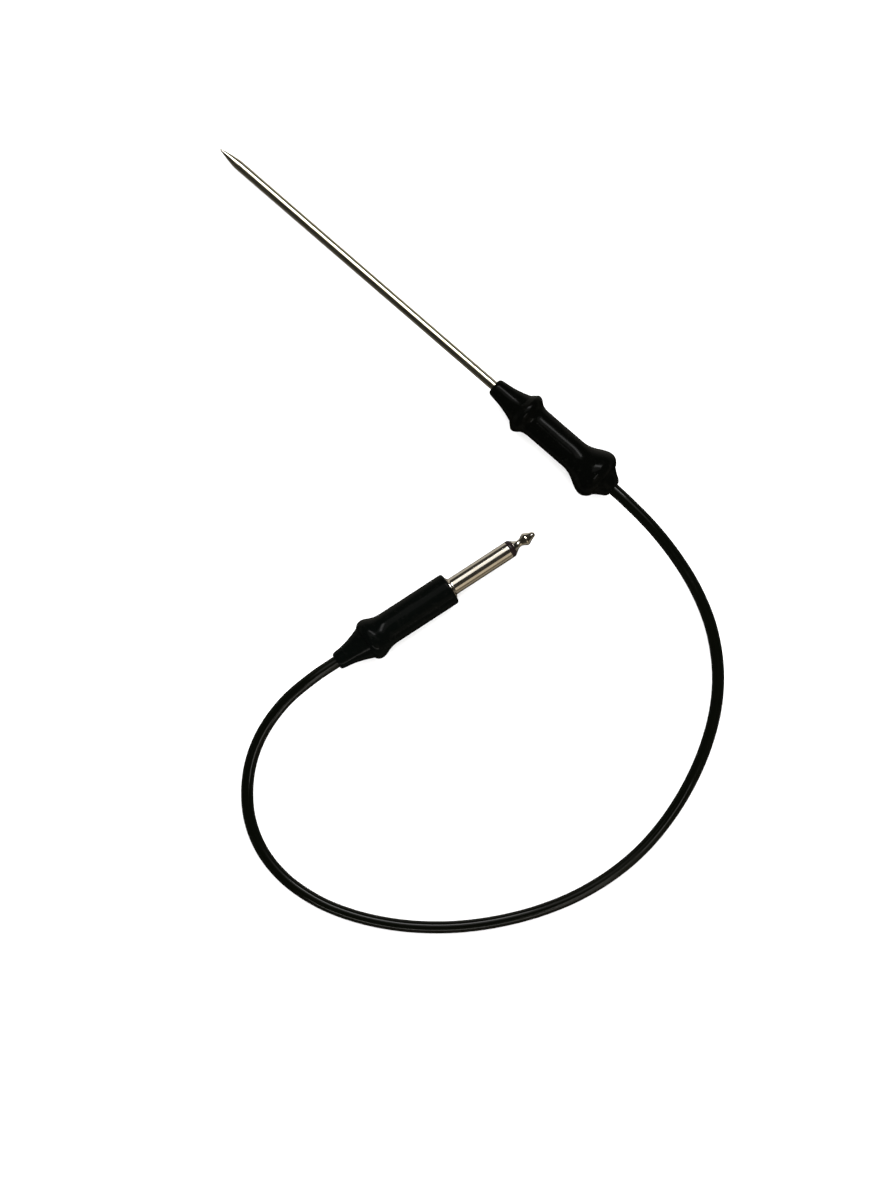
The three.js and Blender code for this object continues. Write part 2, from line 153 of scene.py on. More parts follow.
@dataclass
class Outline:
    """A chain of points in the half plane beside an axis, as (x along it, radius), in mm."""

    points: list[Point]

    @classmethod
    def start(cls, x: float, radius: float) -> "Outline":
        """Begins an outline at one point."""
        return cls([(x, radius)])

    def line(self, x: float, radius: float) -> "Outline":
        """Adds a straight stretch, held near both ends so that its shading stays even.

        Args:
            x: Where it ends along the axis.
            radius: The radius that it ends at.

        Returns:
            The outline itself.
        """
        start, end = Vector(self.points[-1]), Vector((x, radius))
        if (end - start).length > 4 * HOLD:
            for share in (HOLD / (end - start).length, 1 - HOLD / (end - start).length):
                self.points.append(tuple(start.lerp(end, share)))
        self.points.append((x, radius))
        return self

    def curve(self, first: Point, second: Point, end: Point, steps: int = 16) -> "Outline":
        """Adds a cubic curve.

        Args:
            first: The control point that the curve leaves towards.
            second: The control point that it arrives from.
            end: Where it ends.
            steps: How many straight stretches it is made of.

        Returns:
            The outline itself.
        """
        knots = [Vector((x, radius, 0.0)) for x, radius in (self.points[-1], first, second, end)]
        for point in interpolate_bezier(*knots, steps + 1)[1:]:
            self.points.append((point.x, point.y))
        return self

    def corner(self, through: Point, end: Point, steps: int = 8) -> "Outline":
        """Adds a rounded corner.

        Args:
            through: The sharp corner that the curve rounds off.
            end: Where the rounding ends.
            steps: How many straight stretches it is made of.

        Returns:
            The outline itself.
        """
        x, radius = self.points[-1]
        towards = [(a + (b - a) * 2 / 3) for a, b in zip((x, radius), through)]
        back = [(a + (b - a) * 2 / 3) for a, b in zip(end, through)]
        return self.curve(tuple(towards), tuple(back), end, steps)


def pipe(ends: Span, bore: float, radius: float, edge: float, grooves: Sequence[float] = ()) -> Outline:
    """Draws a ring or a tube with rounded outer edges.

    Args:
        ends: Its rear and front ends along the axis.
        bore: Its inner radius.
        radius: Its outer radius.
        edge: How far its outer edges are rounded.
        grooves: Where the middles of the grooves round it are.

    Returns:
        The outline, which goes round the bore.
    """
    rear, front = ends
    outline = Outline.start(rear, bore).line(rear, radius - edge)
    outline.corner((rear, radius), (rear + edge, radius), 5)
    for x in grooves:
        outline.line(x - 2 * GROOVE, radius)
        outline.curve((x - GROOVE, radius), (x - 0.25, radius - GROOVE), (x, radius - GROOVE), 6)
        outline.curve((x + 0.25, radius - GROOVE), (x + GROOVE, radius), (x + 2 * GROOVE, radius), 6)
    outline.line(front - edge, radius).corner((front, radius), (front, radius - edge), 5)
    return outline.line(front, bore)


def finished(name: str, bm: bmesh.types.BMesh, crease: float = 35.0) -> bpy.types.Object:
    """Turns a bmesh in metres into a smooth-shaded object at the origin.

    Args:
        name: The piece's name.
        bm: Its mesh, which is freed.
        crease: The angle in degrees past which an edge stays sharp.

    Returns:
        The new object, linked to the scene.
    """
    mesh = bpy.data.meshes.new(name)
    bm.to_mesh(mesh)
    bm.free()
    mesh.shade_smooth()
    mesh.set_sharp_from_angle(angle=math.radians(crease))
    piece = bpy.data.objects.new(name, mesh)
    bpy.context.scene.collection.objects.link(piece)
    return piece


def turned(name: str, outline: Outline, lie: Lie, closed: bool, sides: int = FINE) -> bpy.types.Object:
    """Spins an outline round its axis into one closed shell.

    Args:
        name: The piece's name.
        outline: Its outline, which ends on the axis at both ends or goes round a bore.
        lie: Where its axis is.
        closed: Whether the outline goes round a bore.
        sides: How many steps the full turn has.

    Returns:
        The piece.
    """
    bm = bmesh.new()
    verts = [bm.verts.new((x, 0.0, radius)) for x, radius in outline.points]
    following = verts[1:] + (verts[:1] if closed else [])
    for a, b in zip(verts, following):
        bm.edges.new((a, b))
    bmesh.ops.spin(
        bm,
        geom=bm.verts[:] + bm.edges[:],
        cent=(0.0, 0.0, 0.0),
        axis=(1.0, 0.0, 0.0),
        angle=math.tau,
        steps=sides,
        use_merge=True,
    )
    bmesh.ops.remove_doubles(bm, verts=bm.verts[:], dist=1e-4)
    bmesh.ops.recalc_face_normals(bm, faces=bm.faces[:])
    bm.transform(lie.matrix)
    return finished(name, bm)


def blob(name: str, radii: tuple[float, float, float], lie: Lie) -> bpy.types.Object:
    """Makes a rounded drop.

    Args:
        name: The piece's name.
        radii: Its half sizes along the lie's axes, in millimetres.
        lie: Where its middle is.

    Returns:
        The piece.
    """
    bm = bmesh.new()
    shape = lie.matrix @ Matrix.Diagonal((*radii, 1.0))
    bmesh.ops.create_uvsphere(bm, u_segments=48, v_segments=24, radius=1.0, matrix=shape)
    bmesh.ops.recalc_face_normals(bm, faces=bm.faces[:])
    return finished(name, bm)


# ---------- finishes ----------


@dataclass
class NodeSheet:
    """A node tree, with short ways to add and join its nodes."""

    tree: bpy.types.NodeTree

    @property
    def shader(self) -> bpy.types.Node:
        """The shader that a new material starts with."""
        return self.tree.nodes["Principled BSDF"]

    def add(self, kind: str, **values: object) -> bpy.types.Node:
        """Adds a node and sets its properties and input values.

        Args:
            kind: The node's type, without the ShaderNode at its start.
            **values: Properties by name, or input values by name with _ for a space.

        Returns:
            The node.
        """
        node = self.tree.nodes.new("ShaderNode" + kind)
        for key, value in values.items():
            if hasattr(node, key):
                setattr(node, key, value)
            else:
                node.inputs[key.replace("_", " ")].default_value = value
        return node

    def join(self, source: Socket, target: Socket) -> None:
        """Links an output to an input."""
        self.tree.links.new(source, target)

    def place(self, lie: Lie | None, stretch: Sequence[float], space: Space = Space.PIECE) -> Socket:
        """Lays a pattern out along a piece's own axes.

        Args:
            lie: The lie of the piece's axis, or None for the object's own axes.
            stretch: How much denser the pattern is along each axis.
            space: What the pattern is laid out in.

        Returns:
            The coordinates, in metres times stretch.
        """
        source = self.add("TexCoord").outputs[space.value]
        if lie is not None:
            turn = self.add("Mapping", vector_type="TEXTURE", Location=lie.location, Rotation=lie.euler)
            self.join(source, turn.inputs["Vector"])
            source = turn.outputs["Vector"]
        scale = self.add("Mapping", vector_type="POINT", Scale=stretch)
        self.join(source, scale.inputs["Vector"])
        return scale.outputs["Vector"]

    def noise(self, vector: Socket, scale: float, detail: float = 3.0, roughness: float = 0.5) -> Socket:
        """Adds a noise pattern.

        Args:
            vector: The coordinates that it is laid out in.
            scale: How dense it is.
            detail: How many finer layers it has.
            roughness: How strong the finer layers are.

        Returns:
            The pattern's value.
        """
        node = self.add("TexNoise", Scale=scale, Detail=detail, Roughness=roughness)
        self.join(vector, node.inputs["Vector"])
        return node.outputs["Fac"]

    def spread(
        self, value: Socket, low: float, high: float, start: float = 0.3, end: float = 0.7
    ) -> Socket:
        """Maps one range of values to another and holds the result inside it.

        Args:
            value: The value.
            low: What start becomes.
            high: What end becomes.
            start: The first end of the range that is mapped.
            end: Its other end.

        Returns:
            The result.
        """
        node = self.add("MapRange", From_Min=start, From_Max=end, To_Min=low, To_Max=high)
        self.join(value, node.inputs["Value"])
        return node.outputs["Result"]

    def tint(self, value: Socket, low: Colour | Socket, high: Colour | Socket) -> Socket:
        """Mixes two colours.

        Args:
            value: How much of the second colour there is.
            low: The first colour, or the output that carries it.
            high: The second colour, or the output that carries it.

        Returns:
            The mixed colour.
        """
        node = self.add("Mix", data_type="RGBA")
        targets = [socket for socket in node.inputs if socket.type == "RGBA"]
        for colour, target in zip((low, high), targets):
            if isinstance(colour, Socket):
                self.join(colour, target)
            else:
                target.default_value = (*colour, 1.0)
        self.join(value, node.inputs["Factor"])
        return next(socket for socket in node.outputs if socket.type == "RGBA")

    def reckon(self, operation: str, first: Socket, second: Socket) -> Socket:
        """Works out one value from two.

        Args:
            operation: What is done with them, by the Math node's own name for it.
            first: The first value.
            second: The second value.

        Returns:
            The result.
        """
        node = self.add("Math", operation=operation)
        self.join(first, node.inputs[0])
        self.join(second, node.inputs[1])
        return node.outputs["Value"]

    def facing(self, way: Socket, towards: Vector) -> Socket:
        """Finds how nearly a direction faces a fixed one.

        Args:
            way: The direction.
            towards: The fixed direction.

        Returns:
            Their dot product.
        """
        node = self.add("VectorMath", operation="DOT_PRODUCT")
        node.inputs[1].default_value = towards
        self.join(way, node.inputs[0])
        return node.outputs["Value"]

    def coat(
        self, colour: Socket, roughness: Socket, relief: Iterable[tuple[Socket, float]], **constants: float
    ) -> None:
        """Feeds the shader.

        Args:
            colour: The colour.
            roughness: The roughness.
            relief: The patterns that raise the surface, each with its height in metres.
            **constants: The shader's other inputs by name, with _ for a space.
        """
        self.join(colour, self.shader.inputs["Base Color"])
        self.join(roughness, self.shader.inputs["Roughness"])
        for key, value in constants.items():
            self.shader.inputs[key.replace("_", " ")].default_value = value
        normal = None
        for height, depth in relief:
            node = self.add("Bump", Strength=1.0, Distance=depth)
            self.join(height, node.inputs["Height"])
            if normal is not None:
                self.join(normal, node.inputs["Normal"])
            normal = node.outputs["Normal"]
        self.join(normal, self.shader.inputs["Normal"])


@dataclass(frozen=True)
class Finish:
    """A finish that covers pieces along one lie. Each kind of finish fills in its nodes."""

    name: str

    def lay(self, sheet: NodeSheet, lie: Lie | None) -> None:
        """Adds the finish's nodes."""
        raise NotImplementedError

    def material(self, lie: Lie | None = None) -> bpy.types.Material:
        """Makes the finish's material.

        Args:
            lie: The lie that its pattern follows, or None for the object's own axes.

        Returns:
            The material.
        """
        material = bpy.data.materials.new(self.name)
        material.use_nodes = True
        self.lay(NodeSheet(material.node_tree), lie)
        return material


@dataclass(frozen=True)
class PolishedMetal(Finish):
    """Turned and polished metal: fine rings round the axis, drawn scratches and smears.

    Attributes:
        bright: The metal's colour where it is clean.
        dull: Its colour where it is smeared.
        smooth: The lowest roughness.
        rough: The highest roughness.
        rings: Turning rings for each millimetre along the axis.
        ring_depth: Their height, in metres.
    """

    bright: Colour
    dull: Colour
    smooth: float
    rough: float
    rings: float
    ring_depth: float

    def lay(self, sheet: NodeSheet, lie: Lie | None) -> None:
        """Adds the finish's nodes.

        Args:
            sheet: The material's node tree.
            lie: The lie that the pattern follows, or None.
        """
        along = sheet.place(lie, (1.0, 0.04, 0.04))
        across = sheet.place(lie, (0.03, 1.0, 1.0))
        cloud = sheet.place(lie, (1.0, 1.0, 1.0))
        rings = sheet.noise(along, self.rings / MM, detail=2.0)
        scratches = sheet.noise(across, 9.0 / MM, detail=2.0, roughness=0.7)
        smears = sheet.noise(cloud, 0.16 / MM, detail=5.0, roughness=0.6)
        colour = sheet.tint(sheet.spread(smears, 0.0, 1.0), self.bright, self.dull)
        relief = [(rings, self.ring_depth), (scratches, 0.35 * self.ring_depth)]
        sheet.coat(colour, sheet.spread(smears, self.smooth, self.rough), relief, Metallic=1.0)


@dataclass(frozen=True)
class MouldedRubber(Finish):
    """Moulded rubber: a near-black gloss with flow waves, fine grain and light scuffs.

    Attributes:
        deep: Its colour in the mass.
        scuffed: Its colour where it is rubbed.
        smooth: The lowest roughness.
        rough: The highest roughness.
        gloss: How strongly it mirrors, where 0.5 is plain plastic.
        grain_depth: The height of the mould's grain, in metres.
        wave_depth: The height of the flow waves, in metres.
    """

    deep: Colour
    scuffed: Colour
    smooth: float
    rough: float
    gloss: float
    grain_depth: float
    wave_depth: float

    def lay(self, sheet: NodeSheet, lie: Lie | None) -> None:
        """Adds the finish's nodes.

        Args:
            sheet: The material's node tree.
            lie: The lie that the pattern follows, or None.
        """
        cloud = sheet.place(lie, (1.0, 1.0, 1.0))
        drawn = sheet.place(lie, (0.45, 1.0, 1.0))
        waves = sheet.noise(drawn, 0.20 / MM, detail=2.0)
        grain = sheet.noise(cloud, 2.6 / MM, detail=3.0, roughness=0.65)
        scuffs = sheet.noise(cloud, 0.55 / MM, detail=6.0, roughness=0.75)
        worn = sheet.spread(scuffs, 0.0, 1.0, 0.56, 0.74)
        colour = sheet.tint(worn, self.deep, self.scuffed)
        relief = [(waves, self.wave_depth), (grain, self.grain_depth)]
        roughness = sheet.spread(scuffs, self.smooth, self.rough)
        sheet.coat(colour, roughness, relief, Specular_IOR_Level=self.gloss)


@dataclass(frozen=True)
class DrawnJacket(Finish):
    """An extruded cord jacket: die lines along its length and a faint unevenness.

    Attributes:
        deep: Its colour in the mass.
        scuffed: Its colour where it is rubbed.
        smooth: The lowest roughness.
        rough: The highest roughness.
        gloss: How strongly it mirrors, where 0.5 is plain plastic.
    """

    deep: Colour
    scuffed: Colour
    smooth: float
    rough: float
    gloss: float

    def lay(self, sheet: NodeSheet, lie: Lie | None) -> None:
        """Adds the finish's nodes.

        Args:
            sheet: The material's node tree.
            lie: The lie that the pattern follows, or None.
        """
        lines = sheet.place(None, (0.01, 1.0, 1.0), Space.LENGTH)
        cloud = sheet.place(None, (1.0, 1.0, 1.0))
        die = sheet.noise(lines, 28.0, detail=2.0)
        waves = sheet.noise(cloud, 0.09 / MM, detail=1.0)
        scuffs = sheet.noise(cloud, 0.8 / MM, detail=6.0, roughness=0.75)
        worn = sheet.spread(scuffs, 0.0, 1.0, 0.58, 0.76)
        colour = sheet.tint(worn, self.deep, self.scuffed)
        relief = [(waves, 0.06 * MM), (die, 0.004 * MM)]
        roughness = sheet.spread(scuffs, self.smooth, self.rough)
        sheet.coat(colour, roughness, relief, Specular_IOR_Level=self.gloss)


@dataclass(frozen=True)
class SmallPart(Finish):
    """A plain inner piece that is moulded, drawn or wound: uneven colour and a soft grain.

    Attributes:
        colour: Its colour.
        shade: Its darker colour.
        metallic: 1 for a metal, 0 for anything else.
        roughness: Its middle roughness.
    """

    colour: Colour
    shade: Colour
    metallic: float
    roughness: float

    def lay(self, sheet: NodeSheet, lie: Lie | None) -> None:
        """Adds the finish's nodes.

        Args:
            sheet: The material's node tree.
            lie: The lie that the pattern follows, or None.
        """
        cloud = sheet.place(lie, (1.0, 1.0, 1.0))
        along = sheet.place(lie, (1.0, 0.1, 0.1))
        patches = sheet.noise(cloud, 0.5 / MM, detail=5.0, roughness=0.6)
        grain = sheet.noise(along, 5.0 / MM, detail=3.0)
        colour = sheet.tint(sheet.spread(patches, 0.0, 1.0), self.colour, self.shade)
        roughness = sheet.spread(patches, self.roughness - 0.08, self.roughness + 0.1)
        sheet.coat(colour, roughness, [(grain, 0.01 * MM)], Metallic=self.metallic)


GROUND_STEEL = PolishedMetal(
    "ground_steel",
    bright=(0.80, 0.76, 0.64),
    dull=(0.62, 0.58, 0.47),
    smooth=0.09,
    rough=0.15,
    rings=6.0,
    ring_depth=0.0010 * MM,
)
NICKEL_PLATE = PolishedMetal(
    "nickel_plate",
    bright=(0.80, 0.76, 0.69),
    dull=(0.66, 0.61, 0.53),
    smooth=0.09,
    rough=0.15,
    rings=4.0,
    ring_depth=0.0008 * MM,
)
HANDLE_RUBBER = MouldedRubber(
    "handle_rubber",
    deep=(0.0007, 0.0008, 0.0006),
    scuffed=(0.0026, 0.0026, 0.0022),
    smooth=0.11,
    rough=0.19,
    gloss=0.040,
    grain_depth=0.002 * MM,
    wave_depth=0.12 * MM,
)
PLUG_RUBBER = MouldedRubber(
    "plug_rubber",
    deep=(0.0009, 0.0012, 0.0010),
    scuffed=(0.0030, 0.0030, 0.0027),
    smooth=0.10,
    rough=0.19,
    gloss=0.032,
    grain_depth=0.003 * MM,
    wave_depth=0.14 * MM,
)
RING_PLASTIC = MouldedRubber(
    "ring_plastic",
    deep=(0.007, 0.004, 0.004),
    scuffed=(0.014, 0.010, 0.009),
    smooth=0.16,
    rough=0.26,
    gloss=0.2,
    grain_depth=0.002 * MM,
    wave_depth=0.01 * MM,
)
CORD_JACKET = DrawnJacket(
    "cord_jacket",
    deep=(0.0009, 0.0011, 0.0006),
    scuffed=(0.0028, 0.0028, 0.0022),
    smooth=0.09,
    rough=0.16,
    gloss=0.15,
)
BRASS = SmallPart("turned_brass", (0.60, 0.42, 0.16), (0.44, 0.28, 0.10), 1.0, 0.32)
COPPER = SmallPart("bare_copper", (0.72, 0.34, 0.20), (0.52, 0.22, 0.13), 1.0, 0.30)
SOLDER = SmallPart("solder", (0.60, 0.61, 0.63), (0.40, 0.41, 0.43), 1.0, 0.34)
FIBRE_BOARD = SmallPart("fibre_board", (0.16, 0.045, 0.018), (0.09, 0.025, 0.012), 0.0, 0.70)
NYLON = SmallPart("carrier_nylon", (0.68, 0.62, 0.52), (0.56, 0.50, 0.40), 0.0, 0.55)
WHITE_SLEEVE = SmallPart("white_sleeve", (0.78, 0.76, 0.72), (0.64, 0.62, 0.58), 0.0, 0.45)
SHRUNK_SLEEVE = SmallPart("shrunk_sleeve", (0.045, 0.009, 0.008), (0.025, 0.006, 0.005), 0.0, 0.50)
RED_CORE = SmallPart("red_core", (0.34, 0.014, 0.010), (0.22, 0.009, 0.007), 0.0, 0.42)
WHITE_CORE = SmallPart("white_core", (0.70, 0.68, 0.62), (0.56, 0.54, 0.48), 0.0, 0.42)
GLASS = SmallPart("bead_glass", (0.26, 0.07, 0.015), (0.14, 0.035, 0.008), 0.0, 0.14)
POTTING = SmallPart("potting", (0.075, 0.070, 0.062), (0.045, 0.042, 0.038), 0.0, 0.65)

# The finished pieces of each slot, which the flagged lights are joined to.
DRESSED: dict[Slot, list[bpy.types.Object]] = {slot: [] for slot in Slot}


def dress(
    piece: bpy.types.Object, finish: Finish, slot: Slot, stands_for: Sequence[str], lie: Lie | None
) -> bpy.types.Object:
    """Gives a piece its finish, its body, its slot and the CAD nodes that it replaces.

    Args:
        piece: The piece.
        finish: Its finish.
        slot: The record's material slot that it takes its finish from.
        stands_for: The CAD nodes that it stands for.
        lie: The lie that its pattern follows, or None.

    Returns:
        The piece.
    """
    piece.data.materials.append(finish.material(lie))
    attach(piece, BODY)
    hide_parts(*stands_for)
    DRESSED[slot].append(piece)
    log.info("%s: %d faces, stands for %s", piece.name, len(piece.data.polygons), ", ".join(stands_for))
    return piece


# ---------- the cord ----------


@dataclass(frozen=True)
class Cord:
    """The cord, from inside the handle's rear boot to inside the plug's boot.

    Attributes:
        route: The points that it passes through, in millimetres.
        radius: The jacket's radius, in millimetres.
        sides: How many sides its section has.
        step: The distance between its rings, in millimetres.
    """

    route: tuple[tuple[float, float, float], ...] = (
        (-76.3, 0.0, 8.96),
        (-92.6, 0.0, 9.62),
        (-99.3, 0.2, 9.82),
        (-112.9, 1.3, 9.1),
        (-127.2, 4.1, 6.9),
        (-140.1, 8.4, 4.4),
        (-152.1, 14.8, 2.8),
        (-163.2, 24.2, 2.2),
        (-171.5, 35.0, 2.2),
        (-177.9, 48.0, 2.2),
        (-182.0, 61.1, 2.2),
        (-184.3, 74.5, 2.2),
        (-184.7, 89.1, 2.2),
        (-182.8, 102.6, 2.2),
        (-178.5, 116.5, 2.2),
        (-172.6, 128.7, 2.2),
        (-165.1, 140.2, 2.2),
        (-155.8, 151.4, 2.2),
        (-145.9, 160.7, 2.2),
        (-134.9, 168.8, 2.2),
        (-122.1, 175.7, 2.2),
        (-109.2, 180.1, 2.2),
        (-94.7, 181.6, 2.2),
        (-81.4, 179.0, 2.2),
        (-69.8, 172.2, 2.45),
        (-60.4, 161.0, 3.4),
        (-55.3, 148.5, 5.3),
        (-53.9, 134.1, 7.5),
        (-55.9, 120.6, 8.85),
        (-58.5, 111.0, 8.53),
        (-61.7, 100.1, 7.92),
        (-65.0, 88.6, 7.28),
    )
    radius: float = 2.2
    sides: int = 32
    step: float = 1.5

    def centreline(self) -> list[Vector]:
        """The smooth line through the route's points.

        Returns:
            Points in metres, about one step apart.
        """
        knots = [Vector(point) * MM for point in self.route]
        knots = [knots[0] * 2 - knots[1], *knots, knots[-1] * 2 - knots[-2]]
        line: list[Vector] = [knots[1]]
        for before, start, end, after in zip(knots, knots[1:], knots[2:], knots[3:]):
            # A centripetal spline: each stretch is timed by the root of its length.
            pairs = ((before, start), (start, end), (end, after))
            last, now, later = (math.sqrt((b - a).length) for a, b in pairs)
            leave = (start - before) / last - (end - before) / (last + now) + (end - start) / now
            arrive = (end - start) / now - (after - start) / (now + later) + (after - end) / later
            first = start + leave * now / 3
            second = end - arrive * now / 3
            count = max(2, round((end - start).length / (self.step * MM)))
            line.extend(interpolate_bezier(start, first, second, end, count + 1)[1:])
        return line

    def build(self) -> tuple[bpy.types.Object, list[Vector]]:
        """Sweeps the jacket's round section along the centreline.

        Returns:
            The cord and its centreline.
        """
        line = self.centreline()
        bm = bmesh.new()
        bmesh.ops.create_circle(bm, cap_ends=True, segments=self.sides, radius=self.radius * MM)
        heading = Vector((0.0, 0.0, 1.0))
        first = (line[1] - line[0]).normalized()
        ring = bm.verts[:]
        bmesh.ops.transform(
            bm,
            matrix=Matrix.Translation(line[0]) @ heading.rotation_difference(first).to_matrix().to_4x4(),
            verts=ring,
        )
        edges = bm.edges[:]
        heading = first
        for index in range(1, len(line)):
            ahead = line[min(index + 1, len(line) - 1)]
            tangent = (ahead - line[index - 1]).normalized()
            grown = bmesh.ops.extrude_edge_only(bm, edges=edges)["geom"]
            ring = [g for g in grown if isinstance(g, bmesh.types.BMVert)]
            edges = [g for g in grown if isinstance(g, bmesh.types.BMEdge)]
            swing = heading.rotation_difference(tangent).to_matrix().to_4x4()
            move = Matrix.Translation(line[index]) @ swing @ Matrix.Translation(-line[index - 1])
            bmesh.ops.transform(bm, matrix=move, verts=ring)
            heading = tangent
        bmesh.ops.contextual_create(bm, geom=edges)
        bmesh.ops.recalc_face_normals(bm, faces=bm.faces[:])
        self.unwrap(bm, line)
        return finished("cord_jacket", bm), line

    def unwrap(self, bm: bmesh.types.BMesh, line: Sequence[Vector]) -> None:
        """Lays the UV map along the cord: u runs along it and v round it, both in turns.

        Args:
            bm: The cord's mesh, whose rings follow one another in vertex order.
            line: The centreline, with one point for each ring.
        """
        bm.verts.index_update()
        layer = bm.loops.layers.uv.new("cord")
        length = 0.0
        stations = [0.0]
        for a, b in zip(line, line[1:]):
            length += (b - a).length
            stations.append(length)
        for face in bm.faces:
            rounds = [loop.vert.index % self.sides / self.sides for loop in face.loops]
            across = max(rounds) - min(rounds) > 0.5
            for loop, turn in zip(face.loops, rounds):
                u = stations[loop.vert.index // self.sides] / length
                loop[layer].uv = (u, turn + 1.0 if across and turn < 0.5 else turn)

    def dress(self, with_pieces: Callable[[], Sequence[bpy.types.Object]]) -> bpy.types.Object:
        """Args:
            with_pieces: Builds the pieces at the cord's far end, which are the plug's.

        Returns:
            The cord.
        """
        piece, line = self.build()
        dress(piece, CORD_JACKET, Slot.CORD, ["cord"], None)
        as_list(with_pieces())
        return piece


# ---------- the probe ----------


@dataclass(frozen=True)
class Needle:
    """The steel needle: a thin tube with a ground point welded into it. Millimetres.

    Attributes:
        radius: The tube's outer radius.
        bore: Its inner radius.
        length: From the handle's front face to the point.
        point_length: The length of the ground point.
        blunt_radius: The radius that the point ends in.
        spigot_length: How far the point goes into the tube.
        joint: The gap between the tube and the point.
        rear: Where the tube ends inside the handle.
    """

    radius: float = 1.75
    bore: float = 1.3
    length: float = 129.3
    point_length: float = 9.3
    blunt_radius: float = 0.35
    spigot_length: float = 3.0
    joint: float = 0.004
    rear: float = -22.5

    def build(self, lie: Lie) -> None:
        """Builds the tube and the point.

        Args:
            lie: The probe's lie.
        """
        root = self.length - self.point_length
        tube = Outline.start(self.rear, self.bore).line(self.rear, self.radius - 0.1)
        tube.corner((self.rear, self.radius), (self.rear + 0.1, self.radius), 3)
        tube.line(root, self.radius).line(root, self.bore)
        dress(turned("needle_shaft", tube, lie, True), GROUND_STEEL, Slot.NEEDLE, ["needle_tube"], lie)
        spigot, back, face = self.bore - 0.02, root - self.spigot_length, root + self.joint
        point = Outline.start(back, 0.0).line(back, spigot - 0.2).line(back + 0.2, spigot)
        point.line(face, spigot).line(face, self.radius)
        shoulder = (self.length - 0.3, self.blunt_radius)
        point.curve((root + 2.4, self.radius), (root + 5.6, 1.02), shoulder, 36)
        point.corner((self.length - 0.02, self.blunt_radius - 0.08), (self.length, 0.0), 6)
        dress(turned("needle_tip", point, lie, False), GROUND_STEEL, Slot.NEEDLE, ["needle_point"], lie)


